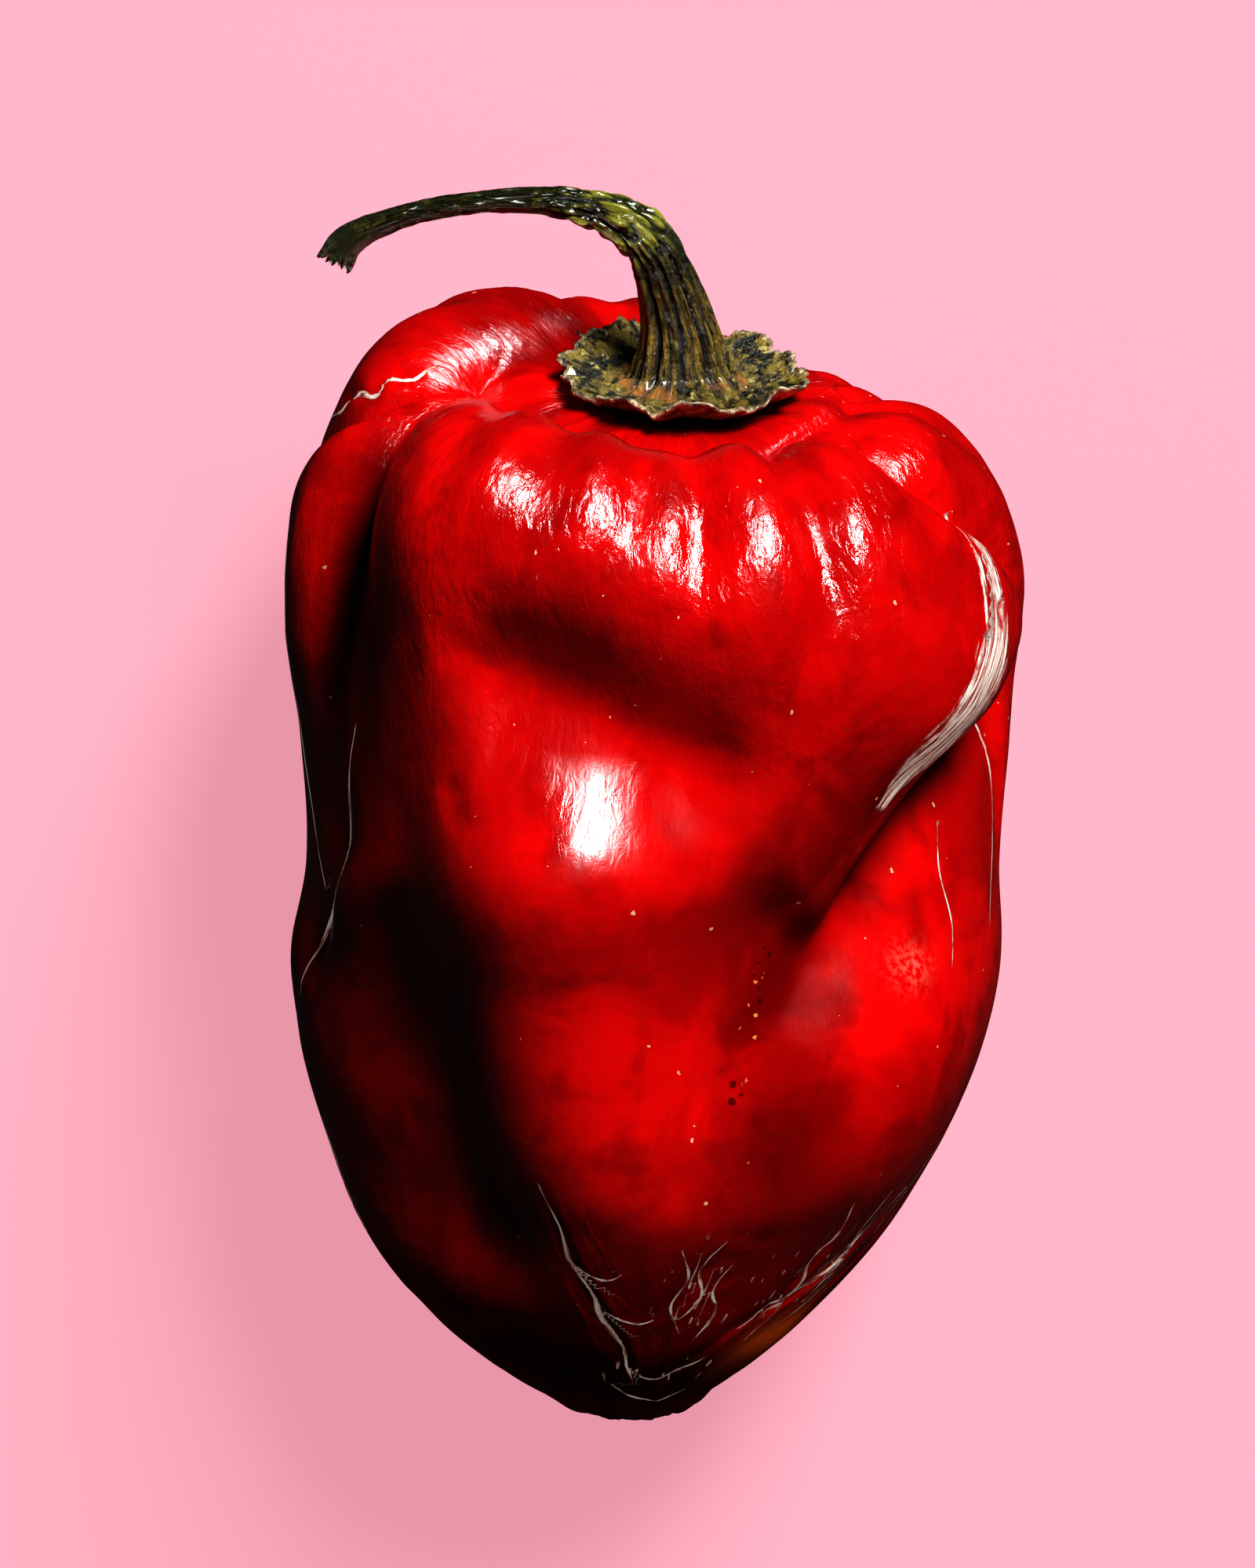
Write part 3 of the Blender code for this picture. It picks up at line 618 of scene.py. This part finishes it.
# Relief of the skin: leathery crinkles, wrinkles beside the folds, fibres of the marks, sunken pits
crinkle_place = stretch(tree, skin, (1.0, 1.0, 0.50))
crinkle = grain(tree, crinkle_place, 2.1, 4.0, 0.60, 0.7)
crease = grain(tree, crinkle_place, 1.2, 3.0, 0.6, 0.5, "RIDGED_MULTIFRACTAL")
beside = grain(tree, stretch(tree, pulled_at, (1.9, 0.24, 0.0)), 1.0, 3.0, 0.5, 0.3)
relief = sums(tree, "MULTIPLY", crinkle, rough_skin)
relief = sums(tree, "MULTIPLY_ADD", sums(tree, "MULTIPLY", crease, rough_skin), -0.10, relief)
relief = sums(tree, "MULTIPLY_ADD", sums(tree, "MULTIPLY", beside, pulled), 2.2, relief)
relief = sums(tree, "MULTIPLY_ADD", sums(tree, "MULTIPLY", fibre, glint_and_scar_mask), 1.6, relief)
relief = sums(tree, "MULTIPLY_ADD", pitted, -0.8, relief)
bump = wire(tree, "ShaderNodeBump", {"Strength": 1.0, "Distance": 0.00009, "Height": relief})
tree.links.new(bump.outputs[0], shader.inputs["Normal"])
dull = kept(tree, "dull")
worn = ease(tree, grain(tree, skin, 0.5, 4.0), 0.35, 0.7, 0.12, 0.24)
worn = sums(tree, "MULTIPLY_ADD", dull, 0.22, worn)
tree.links.new(sums(tree, "MULTIPLY_ADD", glint_and_scar_mask, 0.15, worn), shader.inputs["Roughness"])
# Wax shines least under the painted shade of the clefts and where the skin dried dull
wax = sums(tree, "MULTIPLY", ease(tree, painted_shade, 0.1, 0.9, 0.8, 0.08), ease(tree, dull, 0.1, 0.8, 1.0, 0.06))
tree.links.new(wax, shader.inputs["Specular IOR Level"])
shader.inputs["Subsurface Weight"].default_value = 0.10
shader.inputs["Subsurface Radius"].default_value = (1.0, 0.12, 0.06)
shader.inputs["Subsurface Scale"].default_value = 0.0010
pod.data.materials.append(material)
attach(pod, "root")
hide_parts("pod")

# The stalk. One dry growth: a curved woody stem with deep grooves at its foot and scaly warts in
# its bend, frayed where it was cut, that flares into the calyx, a leathery ruffled cap with a torn
# pale rim, which sits in the pod's crown.
CALYX_CENTRE = (1.2, 0.0)
CALYX_RADIUS = 5.45
CALYX_THICKNESS, RIM_THICKNESS = 0.7, 0.26
RUFFLE = 0.09
SEAT_GAP = 0.26
STALK_AROUND, STEM_ROWS = 256, 250
TOP_ROWS, UNDER_ROWS, CUT_ROWS = 46, 22, 14
STEM_DRUM, COLOUR_DRUM = 1.3, 1.8
GROOVE_WIDTH, GROOVE_WANDER, GROOVES_DEEPER = 6.0, 6.0, 1.35
WART_HEIGHT, WART_LEVEL, BARK_HEIGHT = 0.48, 0.75, 0.05
FRAY_LENGTH, CUT_SINK = 0.9, 0.25
GROOVES_UP_STEM = 0.25
FLARE_REACH = 0.4
LEAF_RUN, BRIM_RUN = -5.0, -5.2
# Unevenness of the rim, of the lifted leaf and of the cut: height, how many round it, and its seed
TEARS = [(0.30, 7.0, 41), (0.22, 17.0, 42), (0.10, 37.0, 45)]
WAVES = [(0.30, 6.0, 43), (0.20, 14.0, 44)]
CUT_ROUGH = [(0.12, 6.0, 61), (0.10, 14.0, 62)]
# Rounding of the brim: height as a share of the rim's thickness, and how far it stands out
BRIM = [(0.8, 0.04), (0.55, 0.06), (0.3, 0.04)]
# Middle of the stem and its radius, from its foot to the cut
STEM = [(1.2, 0.0, 51.3, 2.35), (1.15, 0.0, 52.4, 2.0), (0.95, 0.0, 53.8, 1.68), (0.5, -0.1, 55.5, 1.42),
        (-0.1, -0.2, 57.0, 1.3), (-1.5, -0.3, 58.4, 1.1), (-3.9, -0.5, 59.25, 0.78),
        (-7.0, -0.8, 59.5, 0.56), (-10.3, -1.2, 59.2, 0.5), (-12.8, -1.6, 58.5, 0.6),
        (-14.1, -1.8, 57.8, 0.76), (-14.6, -1.9, 57.0, 0.85)]
# Grooves of the stem's foot: angle round it in degrees, depth as a share of the radius
GROOVES = [(0, 0.16), (17, 0.07), (38, 0.14), (60, 0.08), (84, 0.15), (108, 0.08), (132, 0.14), (156, 0.08),
           (180, 0.15), (-156, 0.08), (-132, 0.14), (-108, 0.08), (-84, 0.15), (-60, 0.09), (-36, 0.14),
           (-17, 0.08)]
# Rim of the calyx: angle in degrees, lift, and its reach in calyx radii
RIM = [(-180, 0.1, 0.94), (-145, 0.6, 0.96), (-118, 0.9, 0.98), (-92, 0.1, 1.0), (-60, 0.0, 1.02),
       (-22, 0.0, 1.15), (18, 0.0, 1.15), (42, 0.1, 1.1), (52, 0.2, 1.28), (63, 0.2, 1.04),
       (100, 0.1, 1.0), (135, 0.5, 0.96), (160, 0.3, 0.94), (180, 0.1, 0.94)]


def crown_surface(angle, reach):
    """Points of the crown under the calyx, by angle and distance from the stem: the bare pod's
    height there, with its swellings but without its ribs, because the calyx bridges them."""
    x = CALYX_CENTRE[0] + reach * np.sin(angle)
    y = CALYX_CENTRE[1] - reach * np.cos(angle)
    middle = np.interp(OUTLINE_LENGTH - reach, drift[:, 0], drift[:, 1])
    depth = 0.5 * (UPPER_DEPTH + UNDER_DEPTH)
    radius = np.hypot(x - middle, y / depth)
    inward = slice(None, np.argmax(outline[:, 1]) - 1, -1)
    height = np.interp(radius, outline[inward, 0], outline[inward, 1])
    along = np.interp(radius, outline[inward, 0], outline_steps[inward])
    points = bare_pod(np.arctan2(x - middle, -y / depth), along)
    rise = sum(swell(points, *place) for place in SWELLS)
    return np.stack([x, y, height - SHOULDER_TILT * x + rise], -1)


def scales(points, seed):
    """Cell-like bumps: 1 at the middle of each cell of space, falling with the distance to the
    nearest of one random point in each cell."""
    corner = np.floor(points)
    nearest = np.full(points.shape[:-1], 9.0)
    for i in (-1, 0, 1):
        for j in (-1, 0, 1):
            for k in (-1, 0, 1):
                cell = corner + [i, j, k]
                jitter = np.stack([rumple(cell, seed + axis) for axis in (0, 1, 2)], -1)
                away = np.linalg.norm(cell + 0.5 + 0.4 * jitter - points, axis=-1)
                nearest = np.minimum(nearest, away)
    return 1 - np.clip(nearest / 0.9, 0, 1) ** 2


turn = np.linspace(0, 2 * np.pi, STALK_AROUND, endpoint=False)
turn_degrees = (np.degrees(turn) + 180) % 360 - 180
stem_line, stem_steps = smooth_path(STEM, STEM_ROWS)
middle, radius = stem_line[:, :3], stem_line[:, 3]
heading = np.gradient(middle, axis=0)
heading /= np.linalg.norm(heading, axis=1, keepdims=True)
sides = [np.array([1.0, 0.0, 0.0])]
for ahead in heading:
    side = sides[-1] - ahead * (sides[-1] @ ahead)
    sides.append(side / np.linalg.norm(side))
sides = np.array(sides[1:])
forward = np.cross(sides, heading)
outward = np.sin(turn)[:, None] * sides[:, None] + np.cos(turn)[:, None] * forward[:, None]

foot_steps = stem_steps[:, None]
ring_place = np.stack([np.broadcast_to(STEM_DRUM * np.sin(turn), (STEM_ROWS, STALK_AROUND)),
                       np.broadcast_to(STEM_DRUM * np.cos(turn), (STEM_ROWS, STALK_AROUND)),
                       np.broadcast_to(foot_steps, (STEM_ROWS, STALK_AROUND))], -1)
wander = rumple(ring_place * [0.9, 0.9, 0.6], 7)
wander = turn_degrees + GROOVE_WANDER * between(foot_steps, 0.0, 2.5) * wander
grooved = sum(-GROOVES_DEEPER * depth * np.exp(-(((wander - place + 180) % 360 - 180) / GROOVE_WIDTH) ** 2)
              for place, depth in GROOVES)
groove_fade = GROOVES_UP_STEM + (1 - GROOVES_UP_STEM) * between(foot_steps, 9.5, 4.5)
warty = between(foot_steps, 4.0, 7.0) * between(foot_steps, 14.0, 9.5)
warts = scales(ring_place * [1.5, 1.5, 0.75] + 0.25 * rumple(ring_place * 2, 5)[..., None], 11)
rough_bark = (rumple(ring_place * [3.0, 3.0, 1.1], 21)
              + 0.5 * rumple(ring_place * [6.5, 6.5, 2.6], 22))
swing = 1 + groove_fade * grooved + 0.03 * np.cos(7 * turn)
bumps = WART_HEIGHT * warty * (warts - WART_LEVEL)
out_by = radius[:, None] * swing + bumps + BARK_HEIGHT * rough_bark
stem_rings = middle[:, None] + outward * out_by[..., None]
# The cut end is ragged: each fibre ends a little further out or in
frayed = between(foot_steps, stem_steps[-1] - FRAY_LENGTH, stem_steps[-1])
ragged = (0.35 * rumple(ring_place * [5.0, 5.0, 0.0] + 3.3, 31)
          + 0.25 * rumple(ring_place * [11.0, 11.0, 0.0], 32))
stem_rings = stem_rings + heading[:, None] * (frayed * ragged)[..., None]

rim = np.array(RIM)
lift = (np.interp(turn_degrees, rim[:, 0], rim[:, 1])
        + RUFFLE * (np.sin(9 * turn) + 0.6 * np.sin(14 * turn + 1)))
circle = np.stack([np.sin(turn), np.cos(turn), np.zeros_like(turn)], -1)
torn = sum(height * rumple(circle * pitch, seed) for height, pitch, seed in TEARS)
lift = sum((height * rumple(circle * pitch, seed) for height, pitch, seed in WAVES), lift)
reach = CALYX_RADIUS * np.interp(turn_degrees, rim[:, 0], rim[:, 2]) + RUFFLE * np.sin(11 * turn) + torn
foot = stem_rings[0]
foot_reach = np.linalg.norm(foot[:, :2] - np.array(CALYX_CENTRE), axis=1)


def calyx_under(share):
    """Underside of the calyx: the crown's surface, lifted clear of it and curled to the rim."""
    ring = crown_surface(turn, reach * share)
    ring[:, 2] += SEAT_GAP + lift * share ** 3
    return ring


def calyx_top(share):
    """Leafy top, thinner to its rim, that rises into the foot of the stem, crumpled and veined."""
    out = foot_reach + (reach - foot_reach) * share
    ring = crown_surface(turn, out)
    ring[:, 2] += SEAT_GAP + lift * (out / reach) ** 3
    ring[:, 2] += CALYX_THICKNESS * (1 - share) + RIM_THICKNESS * share
    flare = np.clip(1 - share / FLARE_REACH, 0, 1) ** 2
    ring[:, 2] += (foot[:, 2] - ring[:, 2]) * flare
    place = np.stack([ring[:, 0], ring[:, 1], np.full_like(turn, 2.0)], -1)
    crumple = (0.24 * rumple(place * 1.3, 51) + 0.15 * rumple(place * 2.9, 52)
               + 0.3 * grooved[0] * (1 - share))
    ring[:, 2] += crumple * np.clip(4 * share, 0, 1) * np.clip(3 * (1 - share), 0.35, 1)
    return ring


top_shares = np.linspace(0.02, 0.97, TOP_ROWS)
under_shares = np.linspace(0.985, 0.12, UNDER_ROWS)
brim = [calyx_under(1.0) + [0, 0, up * RIM_THICKNESS] for up, out in BRIM]
for ring, (up, out) in zip(brim, BRIM):
    ring[:, :2] += out * np.stack([np.sin(turn), -np.cos(turn)], -1)
tops = [calyx_top(share) for share in top_shares]
unders = [calyx_under(share) for share in under_shares]

# The cut face sinks between its fibres to the pith
cut_shares = np.linspace(0.08, 0.92, CUT_ROWS)
cut_rim = stem_rings[-1]
cut_middle = cut_rim.mean(axis=0) - CUT_SINK * heading[-1]
cut_place = np.stack([np.outer(cut_shares, np.sin(turn)), np.outer(cut_shares, np.cos(turn)),
                      np.zeros((CUT_ROWS, STALK_AROUND))], -1)
cut_face = cut_middle + (cut_rim - cut_middle) * cut_shares[:, None, None]
cut_rough = sum(height * rumple(cut_place * pitch, seed) for height, pitch, seed in CUT_ROUGH)
cut_face = cut_face + heading[-1] * cut_rough[..., None]

stalk_rings = np.concatenate([cut_face, stem_rings[::-1], np.array(tops), np.array(brim), np.array(unders)])
stalk_last = unders[-1].mean(axis=0)
stalk_rings, stalk_ends = (np.clip(lie_down(points), *solid_box)
                           for points in (stalk_rings, np.array([cut_middle, stalk_last])))
stalk = closed_grid("dry_stalk", stalk_ends[0], stalk_rings, stalk_ends[1])


def down_the_stalk(cut, stem, top, brim_value, under):
    """One row of values for each ring from the cut face to the underside, with both end points."""
    rows = np.concatenate([np.full((len(cut_shares), STALK_AROUND), cut),
                           np.broadcast_to(stem, (STEM_ROWS, STALK_AROUND))[::-1],
                           np.broadcast_to(top, (len(top_shares), STALK_AROUND)),
                           np.full((len(brim), STALK_AROUND), brim_value),
                           np.full((len(under_shares), STALK_AROUND), under)])
    return np.concatenate([[rows[0, 0]], rows.ravel(), [rows[-1, -1]]])


note_on(stalk, "up_stem", down_the_stalk(stem_steps[-1], foot_steps, 0.0, 0.0, 0.0))
note_on(stalk, "cut_face", down_the_stalk(1.0, 0.6 * frayed, 0.0, 0.0, 0.0))
note_on(stalk, "to_rim", down_the_stalk(0.0, 0.0, top_shares[:, None], 1.0, 0.9))
note_on(stalk, "torn_edge", down_the_stalk(0.0, 0.0, between(top_shares, 0.93, 1.0)[:, None], 1.0, 0.3))
# Painted shade down the grooves of the stem and on into the calyx top, by their depth
stem_groove_shade = np.clip(-grooved * groove_fade * 7, 0, 1)
top_groove_shade = np.clip(-grooved[0] * 7, 0, 1) * (1 - top_shares[:, None]) ** 2
note_on(stalk, "groove_shade", down_the_stalk(0.0, stem_groove_shade, top_groove_shade, 0.0, 0.0))
wart_rows = np.broadcast_to(warty * np.clip(warts, 0, 1), (STEM_ROWS, STALK_AROUND))
note_on(stalk, "wart", down_the_stalk(0.0, wart_rows, 0.0, 0.0, 0.0))
run_rows = np.concatenate([np.full(len(cut_shares), stem_steps[-1]), stem_steps[::-1],
                           LEAF_RUN * top_shares, np.full(len(brim), BRIM_RUN), LEAF_RUN * under_shares])
run_place = np.stack([np.broadcast_to(COLOUR_DRUM * np.sin(turn), (len(run_rows), STALK_AROUND)),
                      np.broadcast_to(COLOUR_DRUM * np.cos(turn), (len(run_rows), STALK_AROUND)),
                      np.broadcast_to(run_rows[:, None], (len(run_rows), STALK_AROUND))], -1).reshape(-1, 3)
note_on(stalk, "run_place", np.vstack([run_place[:1], run_place, run_place[-1:]]))

material, tree, shader = finish_for("dry_green_stalk", 0.3, 1.0)
run = kept(tree, "run_place", "Vector")
body = wire(tree, "ShaderNodeTexCoord").outputs["Object"]
up_stem, to_rim, torn_edge = kept(tree, "up_stem"), kept(tree, "to_rim"), kept(tree, "torn_edge")
groove_shade, wart, cut = kept(tree, "groove_shade"), kept(tree, "wart"), kept(tree, "cut_face")
fibres = grain(tree, stretch(tree, run, (3.2, 3.2, 0.5)), 1.8, 5.0, 0.65)
mottle = grain(tree, body, 1100.0, 4.0, 0.65, 0.5)
flakes = grain(tree, body, 2600.0, 3.0, 0.65)
# The stem is olive fibres, paler and yellower on its warts, and tan on the ribs of its foot
green = tint(tree, ease(tree, fibres, 0.38, 0.62), (0.004, 0.008, 0.001, 1), (0.055, 0.070, 0.008, 1))
green = tint(tree, ease(tree, mottle, 0.52, 0.70, 0.0, 0.8), green, (0.22, 0.18, 0.03, 1))
green = tint(tree, ease(tree, wart, 0.55, 0.85), green, (0.50, 0.50, 0.06, 1))
ribs = tint(tree, ease(tree, fibres, 0.36, 0.64), (0.020, 0.018, 0.003, 1), (0.46, 0.30, 0.04, 1))
colour = tint(tree, ease(tree, up_stem, 6.0, 1.5), green, ribs)
# The calyx is a drab mottled leaf with dry flakes, rusty where the ribs of the stem run into it
leaf = tint(tree, ease(tree, mottle, 0.44, 0.58), (0.006, 0.007, 0.002, 1), (0.30, 0.22, 0.035, 1))
leaf = tint(tree, ease(tree, flakes, 0.56, 0.66, 0.0, 0.85), leaf, (0.66, 0.54, 0.16, 1))
feet = ease(tree, sums(tree, "ABSOLUTE", sums(tree, "SUBTRACT", to_rim, 0.14)), 0.14, 0.03)
leaf = tint(tree, sums(tree, "MULTIPLY", feet, ease(tree, grain(tree, body, 500.0), 0.42, 0.55)), leaf,
            (0.55, 0.24, 0.04, 1))
colour = tint(tree, ease(tree, to_rim, 0.0, 0.08), colour, leaf)
# Painted shade, near black, down the grooves; a torn rim bleached to cream, and dark and pale fibres at the
# cut
colour = tint(tree, sums(tree, "MULTIPLY", groove_shade, 0.96), colour, (0.002, 0.003, 0.001, 1))
cream = tint(tree, ease(tree, flakes, 0.35, 0.65), (0.16, 0.09, 0.03, 1), (0.80, 0.66, 0.42, 1))
bleached = sums(tree, "MULTIPLY", torn_edge, ease(tree, mottle, 0.38, 0.52, 0.1, 1.0))
colour = tint(tree, bleached, colour, cream)
colour = tint(tree, sums(tree, "MULTIPLY", cut, 0.85), colour,
              tint(tree, ease(tree, flakes, 0.4, 0.65), (0.008, 0.008, 0.003, 1), (0.30, 0.27, 0.14, 1)))
tree.links.new(colour, shader.inputs["Base Color"])
# Relief of bark and flakes, under a thin dried sheen that is strongest on the stem
rise = sums(tree, "MULTIPLY_ADD", flakes, 0.8, sums(tree, "MULTIPLY_ADD", fibres, 1.6, mottle))
bump = wire(tree, "ShaderNodeBump", {"Strength": 1.0, "Distance": 0.00026, "Height": rise})
tree.links.new(bump.outputs[0], shader.inputs["Normal"])
gloss = ease(tree, to_rim, 0.0, 0.2, 0.18, 0.30)
tree.links.new(sums(tree, "MULTIPLY_ADD", torn_edge, 0.3, gloss), shader.inputs["Roughness"])
shader.inputs["Coat Weight"].default_value = 0.7
shader.inputs["Coat Roughness"].default_value = 0.12
stalk.data.materials.append(material)
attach(stalk, "root")
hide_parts("stem_and_calyx")

# The floor. A plain pale pink table top, wide enough to fill every view. It glows a little, so that
# the fruit's shadow on it stays faint, and it throws no light back on the fruit.
FLOOR_HALF = 8.0
floor_mesh = bpy.data.meshes.new("floor")
corners = [(-FLOOR_HALF, -FLOOR_HALF, 0), (FLOOR_HALF, -FLOOR_HALF, 0),
           (FLOOR_HALF, FLOOR_HALF, 0), (-FLOOR_HALF, FLOOR_HALF, 0)]
floor_mesh.from_pydata(corners, [], [(0, 1, 2, 3)])
floor = bpy.data.objects.new("floor", floor_mesh)
bpy.context.scene.collection.objects.link(floor)
material, tree, shader = finish_for("pale_floor", 0.6, 0.2)
shader.inputs["Base Color"].default_value = (0.24, 0.13, 0.155, 1)
shader.inputs["Emission Color"].default_value = (0.58, 0.27, 0.325, 1)
shader.inputs["Emission Strength"].default_value = 1.0
floor_mesh.materials.append(material)
floor.visible_diffuse = False
floor.visible_glossy = False
floor.visible_shadow = False

# The lights. One tall soft box high up beyond the crown, to the right, and a weak even fill from
# all round.
world = bpy.data.worlds.new("studio")
world.use_nodes = True
world.node_tree.nodes["Background"].inputs["Color"].default_value = (1.0, 0.98, 0.96, 1)
world.node_tree.nodes["Background"].inputs["Strength"].default_value = 0.016
bpy.context.scene.world = world


def soft_box(name, place, width, height, power):
    """A rectangular lamp at a place in metres, turned to face the fruit."""
    lamp = bpy.data.lights.new(name, "AREA")
    lamp.shape, lamp.size, lamp.size_y, lamp.energy = "RECTANGLE", width, height, power
    box = bpy.data.objects.new(name, lamp)
    box.location = place
    to_fruit = (-np.array(place) + (0, 0, 0.015))
    azimuth = math.atan2(to_fruit[0], -to_fruit[1])
    fall = math.acos(-to_fruit[2] / np.linalg.norm(to_fruit))
    box.rotation_euler = (fall, 0, azimuth + math.pi)
    bpy.context.scene.collection.objects.link(box)


soft_box("key", (0.63, 1.355, 1.255), 0.50, 0.92, 48.0)

# The camera, where the photograph was taken from: above the fruit, tipped ten degrees to its tip.
camera = bpy.data.objects.new("camera", bpy.data.cameras.new("camera"))
bpy.context.scene.collection.objects.link(camera)
camera.location = (-0.00129, 0.07533, 0.40846)
camera.rotation_euler = (math.radians(-10), 0, 0)
camera.data.sensor_fit = "VERTICAL"
camera.data.sensor_height = 36.0
camera.data.lens = 195.9
camera.data.clip_start = 0.01
bpy.context.scene.camera = camera
bpy.context.scene.view_settings.view_transform = "Standard"
bpy.context.scene.view_settings.look = "High Contrast"
